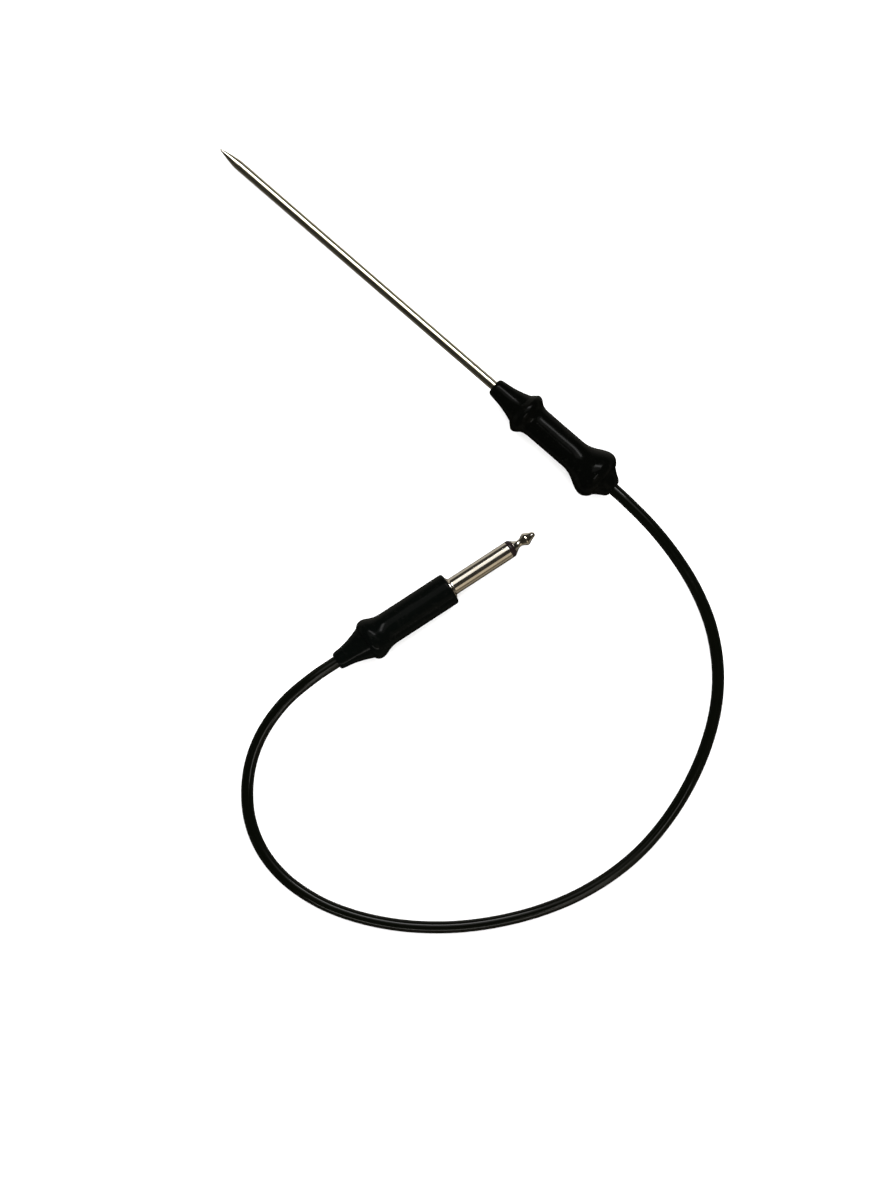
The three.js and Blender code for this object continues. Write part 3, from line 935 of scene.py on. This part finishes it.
@dataclass(frozen=True)
class Handle:
    """The moulded handle: a nose boot, the grip and a rear boot. Millimetres.

    Attributes:
        nose_radius: The nose's radius at its front.
        nose_tenon: How far its tenon goes into the grip.
        root_radius: Its radius at the seam with the grip.
        nose_seam: Where that seam is along the axis.
        rim_radius: The radius of the grip's front rim.
        rim_x: Where the rim is.
        waist_radius: The radius of the grip's waist.
        waist: The waist's front and rear ends.
        bulb_radius: The radius of the grip's rear bulb.
        bulb_x: Where the bulb is widest.
        rear_seam: Where the grip meets the rear boot.
        rear_seam_radius: The grip's radius there.
        rear: Where the rear boot ends.
        bore: The radius of the grip's bore.
        tenon: The radius of the boots' tenons inside the grip.
        tenon_front: Where the rear boot's tenon ends.
    """

    needle: Needle = Needle()
    cord: Cord = Cord()
    nose_radius: float = 3.5
    nose_tenon: float = 5.3
    root_radius: float = 5.95
    nose_seam: float = -12.0
    rim_radius: float = 7.95
    rim_x: float = -14.6
    waist_radius: float = 5.7
    waist: tuple[float, float] = (-20.0, -37.0)
    bulb_radius: float = 9.3
    bulb_x: float = -48.0
    rear_seam: float = -51.6
    rear_seam_radius: float = 6.7
    rear: float = -56.2
    bore: float = 4.3
    tenon: float = 4.2
    tenon_front: float = -44.0

    def lie(self) -> Lie:
        """The probe rests on its rim and its bulb."""
        rests = ((self.rim_x, self.rim_radius), (self.bulb_x, self.bulb_radius))
        return Lie.through("anchor_collar", -19.65, rests, 0.0)

    def nose(self) -> Outline:
        """Draws the nose boot.

        Returns:
            Its outline, which goes round the needle's bore.
        """
        bore, seam = self.needle.radius + 0.02, self.nose_seam - 0.5
        rear = seam - self.nose_tenon
        outline = Outline.start(rear, bore).line(rear, self.tenon).line(seam, self.tenon)
        outline.line(seam, self.root_radius + 0.02)
        outline.corner((seam + 0.03, self.root_radius + 0.12), (seam + 0.15, self.root_radius + 0.02), 3)
        outline.curve((-10.6, 5.2), (-7.6, 4.3), (-4.4, 3.8), 16)
        outline.curve((-3.4, 3.68), (-2.4, self.nose_radius + 0.06), (-1.7, self.nose_radius - 0.02), 6)
        outline.curve((-0.95, self.nose_radius - 0.1), (-0.3, 3.05), (-0.08, 2.5), 12)
        outline.corner((0.0, 2.3), (0.0, 2.1), 4).line(0.0, bore + 0.15)
        return outline.corner((0.0, bore), (-0.15, bore), 4)

    def grip(self) -> Outline:
        """Draws the grip, from the seam behind its bulb to the seam at its rim.

        Returns:
            Its outline, which goes round the bore.
        """
        rear, front = self.rear_seam + 0.02, self.nose_seam - 0.53
        rim, rim_x, seam = self.rim_radius, self.rim_x, self.rear_seam_radius
        bulb, waist = self.bulb_radius, self.waist_radius
        outline = Outline.start(rear, self.bore).line(rear, seam - 0.04)
        outline.corner((rear, seam + 0.04), (rear + 0.05, seam + 0.14), 3)
        outline.curve((rear + 0.35, 7.7), (self.bulb_x - 1.7, bulb), (self.bulb_x, bulb), 28)
        outline.curve((-44.3, bulb), (-42.2, waist), (self.waist[1], waist), 36)
        outline.line(self.waist[0] - 1.0, waist)
        outline.curve((-18.9, waist), (-17.9, 6.2), (-17.2, 6.85), 14)
        outline.curve((-16.7, 7.3), (rim_x - 1.4, rim), (rim_x - 0.5, rim), 12)
        outline.curve((rim_x + 0.1, rim), (rim_x + 0.3, rim - 0.1), (rim_x + 0.6, rim - 0.42), 8)
        outline.line(front - 0.1, self.root_radius + 0.36)
        outline.corner((front + 0.02, self.root_radius + 0.26), (front, self.root_radius + 0.1), 4)
        return outline.line(front, self.bore)

    def rear_boot(self) -> Outline:
        """Draws the rear boot.

        Returns:
            Its outline, which goes round the cord's bore.
        """
        bore, rear = self.cord.radius + 0.06, self.rear
        shoulder, seam = self.rear_seam - 0.02, self.rear_seam_radius
        outline = Outline.start(rear + 0.2, bore).corner((rear, bore), (rear, bore + 0.15), 4)
        outline.line(rear, bore + 0.3)
        outline.corner((rear + 0.15, bore + 1.2), (rear + 1.3, bore + 1.9), 10)
        outline.curve((rear + 2.4, 4.8), (shoulder - 0.9, 5.6), (shoulder - 0.06, seam - 0.22), 16)
        outline.corner((shoulder, seam - 0.16), (shoulder, seam - 0.26), 3)
        outline.line(shoulder, self.tenon).line(self.tenon_front, self.tenon)
        return outline.line(self.tenon_front, bore)

    def build(self) -> None:
        """Builds the needle and the three rubber pieces."""
        lie = self.lie()
        self.needle.build(lie)
        for name, outline, node in (
            ("nose_boot_rubber", self.nose(), "nose_boot"),
            ("grip_rubber", self.grip(), "grip"),
            ("rear_boot_rubber", self.rear_boot(), "rear_boot"),
        ):
            dress(turned(name, outline, lie, True), HANDLE_RUBBER, Slot.HANDLE, [node], lie)


# ---------- the plug ----------


@dataclass(frozen=True)
class Plug:
    """The moulded plug: its tip, black ring, barrel, grip and boot. Millimetres.

    Attributes:
        tip_length: From the grip's front face to the tip.
        barrel_radius: The barrel's radius, half of 6.35.
        barrel_bore: Its inner radius.
        barrel_front: Where the barrel ends and the black ring begins.
        barrel_rear: Where it ends inside the grip.
        collar_radius: The radius of the collar that holds it in the grip.
        collar_front: Where that collar ends.
        flange_radius: The radius of the thin flange at the grip's face.
        flange_front: Where the flange's fillet runs out on the barrel.
        ring_length: The length of the black ring.
        insulator_rear: Where the insulator ends behind the barrel.
        insulator_neck: Its radius there.
        rod_radius: The radius of the tip's rod inside the barrel.
        rod_front: Where the rod ends and the tip begins.
        rivet: The ends of the rod's head behind the washer.
        rivet_radius: That head's radius.
        washer: The ends of the fibre washer.
        washer_radius: Its radius.
        grip_radius: The grip's radius.
        bulb_radius: The radius of the grip's bulb.
        bulb_x: Where the bulb is widest.
        seam: Where the grip meets the boot.
        seam_radius: The grip's radius there.
        grip_bore: The grip's inner radius behind its throat.
        throat_rear: Where the throat that holds the barrel begins.
        tenon: The radius of the boot's tenon inside the grip.
        tenon_front: Where that tenon ends.
        rear: Where the boot ends.
        heading: The way that the tip points, in degrees from +X.
        solder: Each solder bead's node, and where it is along the axis and over it.
        inner: The CAD nodes inside the plug, which go with it.
    """

    cord: Cord = Cord()
    tip_length: float = 35.8
    barrel_radius: float = 3.175
    barrel_bore: float = 2.5
    barrel_front: float = 25.0
    barrel_rear: float = -9.6
    collar_radius: float = 4.2
    collar_front: float = -6.3
    flange_radius: float = 4.2
    flange_front: float = 1.2
    ring_length: float = 1.87
    insulator_rear: float = -10.7
    insulator_neck: float = 2.2
    rod_radius: float = 1.1
    rod_front: float = 26.9
    rivet: Span = (-14.0, -13.0)
    rivet_radius: float = 1.8
    washer: Span = (-11.8, -11.0)
    washer_radius: float = 2.3
    grip_radius: float = 6.0
    bulb_radius: float = 7.75
    bulb_x: float = -33.4
    seam: float = -36.0
    seam_radius: float = 6.5
    grip_bore: float = 4.4
    throat_rear: float = -6.0
    tenon: float = 4.3
    tenon_front: float = -31.0
    rear: float = -48.4
    heading: float = -106.1
    solder: tuple[tuple[str, float, float], ...] = (
        ("tip_solder", -17.6, 1.75),
        ("sleeve_solder", -18.4, -1.95),
    )
    inner: tuple[str, ...] = ("sleeve_lug", "sleeve_wire", "tip_lug", "tip_wire")

    def lie(self) -> Lie:
        """The plug rests on its grip's front edge and its bulb."""
        rests = ((-0.8, self.grip_radius), (self.bulb_x, self.bulb_radius))
        return Lie.through("rear_washer", -11.4, rests, self.heading)

    def tip(self) -> Outline:
        """Draws the tip contact: its head, its rod, and the tip's flare, neck, ridge and nose.

        Returns:
            Its outline, which ends on the axis.
        """
        rod, front, head = self.rod_radius, self.rod_front, self.rivet_radius
        rear, face = self.rivet
        outline = Outline.start(rear, 0.0).line(rear, head - 0.3)
        outline.corner((rear, head), (rear + 0.3, head), 4)
        outline.line(face, head).line(face, rod).line(front, rod).line(front, 2.3)
        outline.corner((front, 2.42), (front + 0.15, 2.38), 4)
        outline.curve((27.55, 2.05), (28.1, 1.4), (29.1, 1.3), 16)
        outline.curve((29.9, 1.24), (30.4, 1.5), (31.3, 2.1), 16)
        outline.curve((31.6, 2.3), (31.9, 2.38), (32.15, 2.34), 8)
        outline.curve((32.5, 2.28), (33.1, 1.85), (34.1, 1.38), 12)
        outline.curve((34.5, 1.2), (34.9, 1.12), (35.15, 1.0), 6)
        return outline.curve((35.5, 0.82), (self.tip_length, 0.5), (self.tip_length, 0.0), 10)

    def ring(self) -> Outline:
        """Draws the insulator: the black ring, and the sleeve inside the barrel.

        Returns:
            Its outline, which goes round the rod's bore.
        """
        bore, sleeve, neck = self.rod_radius + 0.02, self.barrel_bore - 0.02, self.insulator_neck
        shoulder, radius = self.barrel_front + 0.02, self.barrel_radius
        front = shoulder + self.ring_length
        outline = Outline.start(self.insulator_rear, bore).line(self.insulator_rear, neck)
        outline.line(self.barrel_rear, neck).line(self.barrel_rear, sleeve).line(shoulder, sleeve)
        outline.line(shoulder, radius - 0.03).corner((shoulder, radius), (shoulder + 0.06, radius), 2)
        outline.line(shoulder + 0.7, radius)
        outline.corner((shoulder + 0.95, radius), (shoulder + 1.15, radius - 0.15), 5)
        outline.line(front - 0.17, 2.62).corner((front, 2.5), (front, 2.3), 4)
        return outline.line(front, bore)

    def barrel(self) -> Outline:
        """Draws the barrel, with its flange and the collar inside the grip.

        Returns:
            Its outline, which goes round the bore.
        """
        radius, flange, front = self.barrel_radius, self.flange_radius, self.barrel_front
        outline = Outline.start(self.barrel_rear, self.barrel_bore)
        outline.line(self.barrel_rear, self.collar_radius).line(self.collar_front, self.collar_radius)
        outline.line(self.collar_front, radius).line(0.03, radius).line(0.03, flange - 0.06)
        outline.corner((0.03, flange), (0.13, flange - 0.04), 4).line(0.22, flange - 0.06)
        outline.line(self.flange_front - 0.55, radius + 0.2)
        outline.corner((self.flange_front - 0.35, radius), (self.flange_front, radius), 6)
        outline.line(front - 0.2, radius).corner((front, radius), (front, radius - 0.18), 5)
        return outline.line(front, self.barrel_bore)

    def grip(self) -> Outline:
        """Draws the grip, from the seam behind its bulb to its front face.

        Returns:
            Its outline, which goes round the bore and the throat.
        """
        rear, throat, seam = self.seam + 0.02, self.barrel_radius + 0.05, self.seam_radius
        radius, bulb, bulb_x = self.grip_radius, self.bulb_radius, self.bulb_x
        outline = Outline.start(rear, self.grip_bore).line(rear, seam - 0.06)
        outline.corner((rear, seam + 0.02), (rear + 0.06, seam + 0.08), 3)
        outline.curve((rear + 1.0, 7.55), (bulb_x - 1.1, bulb), (bulb_x, bulb), 18)
        outline.curve((-31.2, bulb), (-30.2, radius), (-26.0, radius), 32)
        outline.line(-1.0, radius)
        outline.curve((-0.5, radius), (-0.1, radius - 0.35), (0.0, radius - 1.0), 14)
        outline.line(0.0, throat).line(self.throat_rear, throat)
        return outline.line(self.throat_rear, self.grip_bore)

    def boot(self) -> Outline:
        """Draws the boot, a hollow-sided cone with a rounded end.

        Returns:
            Its outline, which goes round the cord's bore.
        """
        bore, rear, shoulder = self.cord.radius + 0.06, self.rear, self.seam - 0.02
        outline = Outline.start(rear + 0.2, bore).corner((rear, bore), (rear, bore + 0.15), 4)
        outline.corner((rear + 0.02, bore + 0.95), (rear + 1.5, bore + 1.15), 12)
        outline.line(-46.0, 3.52)
        outline.curve((-43.0, 3.8), (-39.6, 4.75), (shoulder - 0.1, 6.24), 24)
        outline.corner((shoulder, 6.3), (shoulder, 6.2), 3)
        outline.line(shoulder, self.tenon).line(self.tenon_front, self.tenon)
        return outline.line(self.tenon_front, bore)

    def build(self) -> list[bpy.types.Object]:
        """Builds the plug's pieces.

        Returns:
            The pieces and the CAD nodes inside them.
        """
        lie = self.lie()
        pieces = [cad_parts[node] for node in self.inner]
        for name, outline, closed, finish, slot, node in (
            ("plug_tip_contact", self.tip(), False, NICKEL_PLATE, Slot.NICKEL, "plug_tip"),
            ("plug_insulator", self.ring(), True, RING_PLASTIC, Slot.RING, "tip_insulator"),
            ("plug_sleeve", self.barrel(), True, NICKEL_PLATE, Slot.NICKEL, "plug_barrel"),
            ("plug_grip_rubber", self.grip(), True, PLUG_RUBBER, Slot.PLUG, "plug_grip"),
            ("plug_boot_rubber", self.boot(), True, PLUG_RUBBER, Slot.PLUG, "plug_boot"),
        ):
            pieces.append(dress(turned(name, outline, lie, closed), finish, slot, [node], lie))
        washer = pipe(self.washer, self.rod_radius + 0.02, self.washer_radius, 0.1)
        ring = turned("rear_washer_fibre", washer, lie, True)
        pieces.append(dress(ring, FIBRE_BOARD, Slot.FIBRE, ["rear_washer"], lie))
        for node, along, over in self.solder:
            place = lie.moved(along, 0.0, over)
            bead = blob(f"{node}_bead", (1.2, 0.8, 0.45), place)
            pieces.append(dress(bead, SOLDER, Slot.SOLDER, [node], place))
        return pieces


# ---------- the inner pieces ----------


@dataclass(frozen=True)
class Inside:
    """The pieces inside the handle and the needle, and the nodes that keep their CAD shapes.

    Attributes:
        pitch: How far each splice is from the handle's axis, in millimetres.
        bead_x: Where the sensor's bead is along the axis.
        bead: The bead's half length and its radius.
        cup: The ends of the potting round it.
        cup_radius: The potting's radius.
        cup_bore: Its inner radius.
        collar: The ends of the collar that holds the needle.
        carrier: The ends of the splices' carrier.
        ferrule: The ends of the ferrule that holds the cord.
        crimp: The ends of each crimp.
        sleeve: The ends of each sleeve over a crimp.
    """

    pitch: float = 1.65
    bead_x: float = 113.5
    bead: tuple[float, float] = (1.1, 0.6)
    cup: Span = (108.6, 116.6)
    cup_radius: float = 1.05
    cup_bore: float = 0.85
    collar: Span = (-21.2, -18.1)
    carrier: Span = (-38.0, -21.5)
    ferrule: Span = (-43.7, -39.8)
    crimp: Span = (-33.0, -27.0)
    sleeve: Span = (-34.8, -25.5)

    def potting(self) -> Outline:
        """Draws the potting, a cup that is open behind for the leads.

        Returns:
            Its outline, which ends on the axis.
        """
        rear, front = self.cup
        bore, radius = self.cup_bore, self.cup_radius
        lip, floor = (bore + radius) / 2, self.bead_x + self.bead[0] + 0.3
        outline = Outline.start(floor, 0.0).line(floor, bore - 0.2)
        outline.corner((floor, bore), (floor - 0.2, bore), 4)
        outline.line(rear + 0.1, bore).corner((rear, bore), (rear, lip), 3)
        outline.corner((rear, radius), (rear + 0.1, radius), 3).line(front - 0.3, radius)
        return outline.corner((front, radius), (front, radius - 0.3), 5).line(front, 0.0)

    def build(self, lie: Lie) -> None:
        """Builds the turned pieces round the probe's axis and beside it.

        Args:
            lie: The probe's lie.
        """
        collar = pipe(self.collar, 1.77, 3.9, 0.25, (-19.65,))
        carrier = pipe(self.carrier, 3.4, 4.2, 0.3)
        ferrule = pipe(self.ferrule, 2.23, 3.9, 0.2, (-42.6, -40.9))
        crimp = pipe(self.crimp, 0.45, 0.8, 0.1, (-31.6, -28.4))
        sleeve = pipe(self.sleeve, 1.05, 1.3, 0.12)
        for name, outline, finish, slot, node, across in (
            ("anchor_collar_brass", collar, BRASS, Slot.BRASS, "anchor_collar", 0.0),
            ("splice_carrier_nylon", carrier, NYLON, Slot.CARRIER, "splice_carrier", 0.0),
            ("cord_ferrule_brass", ferrule, BRASS, Slot.BRASS, "cord_ferrule", 0.0),
            ("splice_crimp_left", crimp, BRASS, Slot.BRASS, "splice_crimp_a", self.pitch),
            ("splice_crimp_right", crimp, BRASS, Slot.BRASS, "splice_crimp_b", -self.pitch),
            ("splice_sleeve_left", sleeve, SHRUNK_SLEEVE, Slot.SHRINK, "splice_sleeve_a", self.pitch),
            ("splice_sleeve_right", sleeve, SHRUNK_SLEEVE, Slot.SHRINK, "splice_sleeve_b", -self.pitch),
        ):
            place = lie.moved(0.0, across, 0.0)
            dress(turned(name, outline, place, True), finish, slot, [node], place)
        cup = turned("sensor_potting_cup", self.potting(), lie, False)
        dress(cup, POTTING, Slot.POTTING, ["sensor_potting"], lie)
        place = lie.moved(self.bead_x, 0.0, 0.0)
        bead = blob("sensor_glass_bead", (self.bead[0], self.bead[1], self.bead[1]), place)
        dress(bead, GLASS, Slot.GLASS, ["sensor_bead"], place)

    def dress(self, probe: Lie, plug: Lie) -> None:
        """Gives each CAD node that isn't replaced its finish.

        Args:
            probe: The probe's lie.
            plug: The plug's lie.
        """
        inside_probe = {
            "sensor_lead_a": COPPER,
            "sensor_lead_b": COPPER,
            "lead_sleeve_a": WHITE_SLEEVE,
            "lead_sleeve_b": WHITE_SLEEVE,
            "core_wire_a": RED_CORE,
            "core_wire_b": WHITE_CORE,
        }
        inside_plug = {
            "sleeve_lug": BRASS,
            "tip_lug": BRASS,
            "tip_wire": RED_CORE,
            "sleeve_wire": WHITE_CORE,
        }
        for finishes, lie in ((inside_probe, probe), (inside_plug, plug)):
            for node, finish in finishes.items():
                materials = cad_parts[node].data.materials
                materials.clear()
                materials.append(finish.material(lie))
                log.info("%s: %s", node, finish.name)


# ---------- the studio ----------


@dataclass(frozen=True)
class Softbox:
    """A rectangular soft light that faces the table's middle, in the camera's right and up.

    Attributes:
        name: Its name.
        side: How far right of the table's middle it stands, as a slope.
        up: How far up from the table's middle it stands, as a slope.
        distance: How far it stands from the table's middle, in metres.
        width: Its width, in metres.
        depth: Its other side, in metres.
        roll: How far its width is turned from the way that is right, in degrees.
        radiance: How bright its face is, where 1 is white.
        colour: The colour of its light.
        only: The slots of the pieces that it is flagged to, or none if it reaches everything.
    """

    name: str
    side: float
    up: float
    distance: float
    width: float
    depth: float
    roll: float
    radiance: float
    colour: Colour = (1.0, 1.0, 1.0)
    only: tuple[Slot, ...] = ()

    def build(self, middle: Vector, right: Vector, up: Vector) -> None:
        """Stands the light over the table.

        Args:
            middle: The table's middle, in metres.
            right: The way on the table that is right in the frame.
            up: The way on the table that is up in the frame.
        """
        data = bpy.data.lights.new(self.name, "AREA")
        data.shape = "RECTANGLE"
        data.size = self.width
        data.size_y = self.depth
        data.color = self.colour
        data.energy = self.radiance * math.pi * self.width * self.depth
        light = bpy.data.objects.new(self.name, data)
        roll = math.radians(self.roll)
        back = (right * self.side + up * self.up + Vector((0.0, 0.0, 1.0))).normalized()
        across = right * math.cos(roll) + up * math.sin(roll)
        across = (across - back * across.dot(back)).normalized()
        turn = Matrix((across, back.cross(across), back)).transposed()
        light.matrix_world = Matrix.Translation(middle + back * self.distance) @ turn.to_4x4()
        light.visible_camera = False
        if self.only:
            light.light_linking.receiver_collection = bpy.data.collections.new(self.name)
        bpy.context.scene.collection.objects.link(light)


@dataclass(frozen=True)
class Studio:
    """The floor, the lights and the camera, which looks straight down.

    Attributes:
        middle: The point of the table at the middle of the frame, in metres.
        up: The way on the table that is up in the frame.
        height: The height of table that the frame shows, in metres.
        lens: The camera's focal length, in millimetres.
        sensor: The long side of the camera's frame, in millimetres.
        daylight: How bright the even light on the floor is.
        dark_room: The room's colour, as gloss shows it.
        lamp_glow: Its colour round the warm lamp.
        tabletop: The lit tabletop's colour, as gloss shows it.
        floor_reach: How far the floor goes each way, in metres.
        boxes: The soft lights.
    """

    middle: Vector = field(default_factory=lambda: Vector((-0.07076, 0.06704, 0.0)))
    up: Vector = field(default_factory=lambda: Vector((0.6547, -0.7559, 0.0)).normalized())
    height: float = 0.4221
    lens: float = 250.0
    sensor: float = 36.0
    daylight: float = 1.7
    dark_room: Colour = (0.014, 0.0115, 0.006)
    lamp_glow: Colour = (0.17, 0.14, 0.09)
    tabletop: Colour = (0.60, 0.57, 0.51)
    floor_reach: float = 3.0
    boxes: tuple[Softbox, ...] = (
        Softbox(
            "window_light", side=0.12, up=0.59, distance=1.15, width=1.30, depth=0.72, roll=0.0,
            radiance=1.30, colour=(1.0, 0.985, 0.95),
        ),
        Softbox(
            "key_light", side=0.17, up=0.85, distance=1.3, width=0.95, depth=0.24, roll=-21.0,
            radiance=14.0,
        ),
        Softbox(
            "fill_light", side=0.75, up=-1.15, distance=1.2, width=0.66, depth=0.66, roll=33.0,
            radiance=0.50, colour=(1.0, 0.88, 0.70),
        ),
        Softbox(
            "low_light", side=0.08, up=-1.73, distance=1.2, width=1.30, depth=0.10, roll=0.0,
            radiance=14.0, colour=(1.0, 0.97, 0.90), only=(Slot.CORD, Slot.PLUG),
        ),
        Softbox(
            "side_light", side=0.40, up=-0.52, distance=1.2, width=0.50, depth=0.12, roll=58.0,
            radiance=12.0, colour=(1.0, 0.97, 0.92), only=(Slot.CORD, Slot.HANDLE),
        ),
        Softbox(
            "top_light", side=-0.03, up=0.02, distance=1.1, width=0.09, depth=0.09, roll=0.0,
            radiance=5.0, colour=(1.0, 0.98, 0.95), only=(Slot.HANDLE, Slot.PLUG),
        ),
    )

    @property
    def right(self) -> Vector:
        """The way on the table that is right in the frame."""
        return self.up.cross(Vector((0.0, 0.0, 1.0)))

    def camera(self) -> None:
        """Hangs the camera over the table's middle."""
        data = bpy.data.cameras.new("camera")
        data.sensor_fit = "AUTO"
        data.sensor_width = self.sensor
        data.lens = self.lens
        data.clip_start = 0.01
        camera = bpy.data.objects.new("camera", data)
        distance = self.height * self.lens / self.sensor
        place = Matrix.Translation(self.middle + Vector((0.0, 0.0, distance)))
        turn = Matrix((self.right, self.up, (0.0, 0.0, 1.0))).transposed()
        camera.matrix_world = place @ turn.to_4x4()
        bpy.context.scene.collection.objects.link(camera)
        bpy.context.scene.camera = camera

    def world(self) -> None:
        """Surrounds the table with even light, and shows gloss a dark room over a lit tabletop."""
        world = bpy.data.worlds.new("studio")
        world.use_nodes = True
        sheet = NodeSheet(world.node_tree)
        way = sheet.add("TexCoord").outputs["Generated"]
        parts = sheet.add("SeparateXYZ")
        sheet.join(way, parts.inputs["Vector"])
        height = parts.outputs["Z"]
        lit = sheet.spread(sheet.facing(way, self.up), 0.0, 1.0, 0.15, 0.85)
        low = sheet.spread(height, 0.0, 1.0, 0.1, -0.25)
        rise = sheet.spread(height, 0.0, 0.36, -0.03, -0.14)
        fall = sheet.spread(height, 1.0, 0.0, -0.30, -0.60)
        edge = sheet.reckon("MULTIPLY", rise, fall)
        table = sheet.reckon("MAXIMUM", edge, sheet.reckon("MULTIPLY", lit, low))
        lamp = sheet.facing(way, self.right * 0.547 - self.up * 0.837)
        glow = sheet.tint(sheet.spread(lamp, 0.0, 1.0, 0.55, 0.98), self.dark_room, self.lamp_glow)
        room = sheet.add("Background", Strength=1.0)
        sheet.join(sheet.tint(table, glow, self.tabletop), room.inputs["Color"])
        day = sheet.tree.nodes["Background"]
        day.inputs["Color"].default_value = (1.0, 1.0, 1.0, 1.0)
        day.inputs["Strength"].default_value = self.daylight
        mix = sheet.add("MixShader")
        sheet.join(sheet.add("LightPath").outputs["Is Glossy Ray"], mix.inputs["Fac"])
        sheet.join(day.outputs["Background"], mix.inputs[1])
        sheet.join(room.outputs["Background"], mix.inputs[2])
        sheet.join(mix.outputs["Shader"], sheet.tree.nodes["World Output"].inputs["Surface"])
        bpy.context.scene.world = world

    def floor(self) -> None:
        """Lays a wide pale floor under the object."""
        bm = bmesh.new()
        bmesh.ops.create_grid(bm, x_segments=8, y_segments=8, size=self.floor_reach)
        floor = finished("floor", bm)
        material = bpy.data.materials.new("pale_floor")
        material.use_nodes = True
        sheet = NodeSheet(material.node_tree)
        patches = sheet.noise(sheet.place(None, (1.0, 1.0, 1.0)), 12.0, detail=4.0)
        colour = sheet.tint(patches, (0.93, 0.93, 0.93), (0.95, 0.95, 0.95))
        sheet.join(colour, sheet.shader.inputs["Base Color"])
        sheet.shader.inputs["Roughness"].default_value = 0.8
        sheet.shader.inputs["Specular IOR Level"].default_value = 0.1
        floor.data.materials.append(material)
        floor.visible_glossy = False

    def flag(self) -> None:
        """Lets each flagged light reach the pieces of its slots."""
        for box in self.boxes:
            light = bpy.data.objects[box.name]
            for slot in box.only:
                for piece in DRESSED[slot]:
                    light.light_linking.receiver_collection.objects.link(piece)

    def build(self) -> None:
        """Makes the camera, the lights, the world and the floor."""
        self.camera()
        for box in self.boxes:
            box.build(self.middle, self.right, self.up)
        self.world()
        self.floor()
        bpy.context.scene.view_settings.view_transform = "Standard"


def main() -> None:
    """Builds the studio, the cord, the probe, the plug and the pieces inside them."""
    logging.basicConfig(level=logging.INFO, format="%(message)s")
    studio, cord, plug, handle = Studio(), Cord(), Plug(), Handle()
    studio.build()
    cord.dress(plug.build)
    handle.build()
    studio.flag()
    inside = Inside()
    inside.build(handle.lie())
    inside.dress(handle.lie(), plug.lie())


if __name__ == "__main__":
    main()
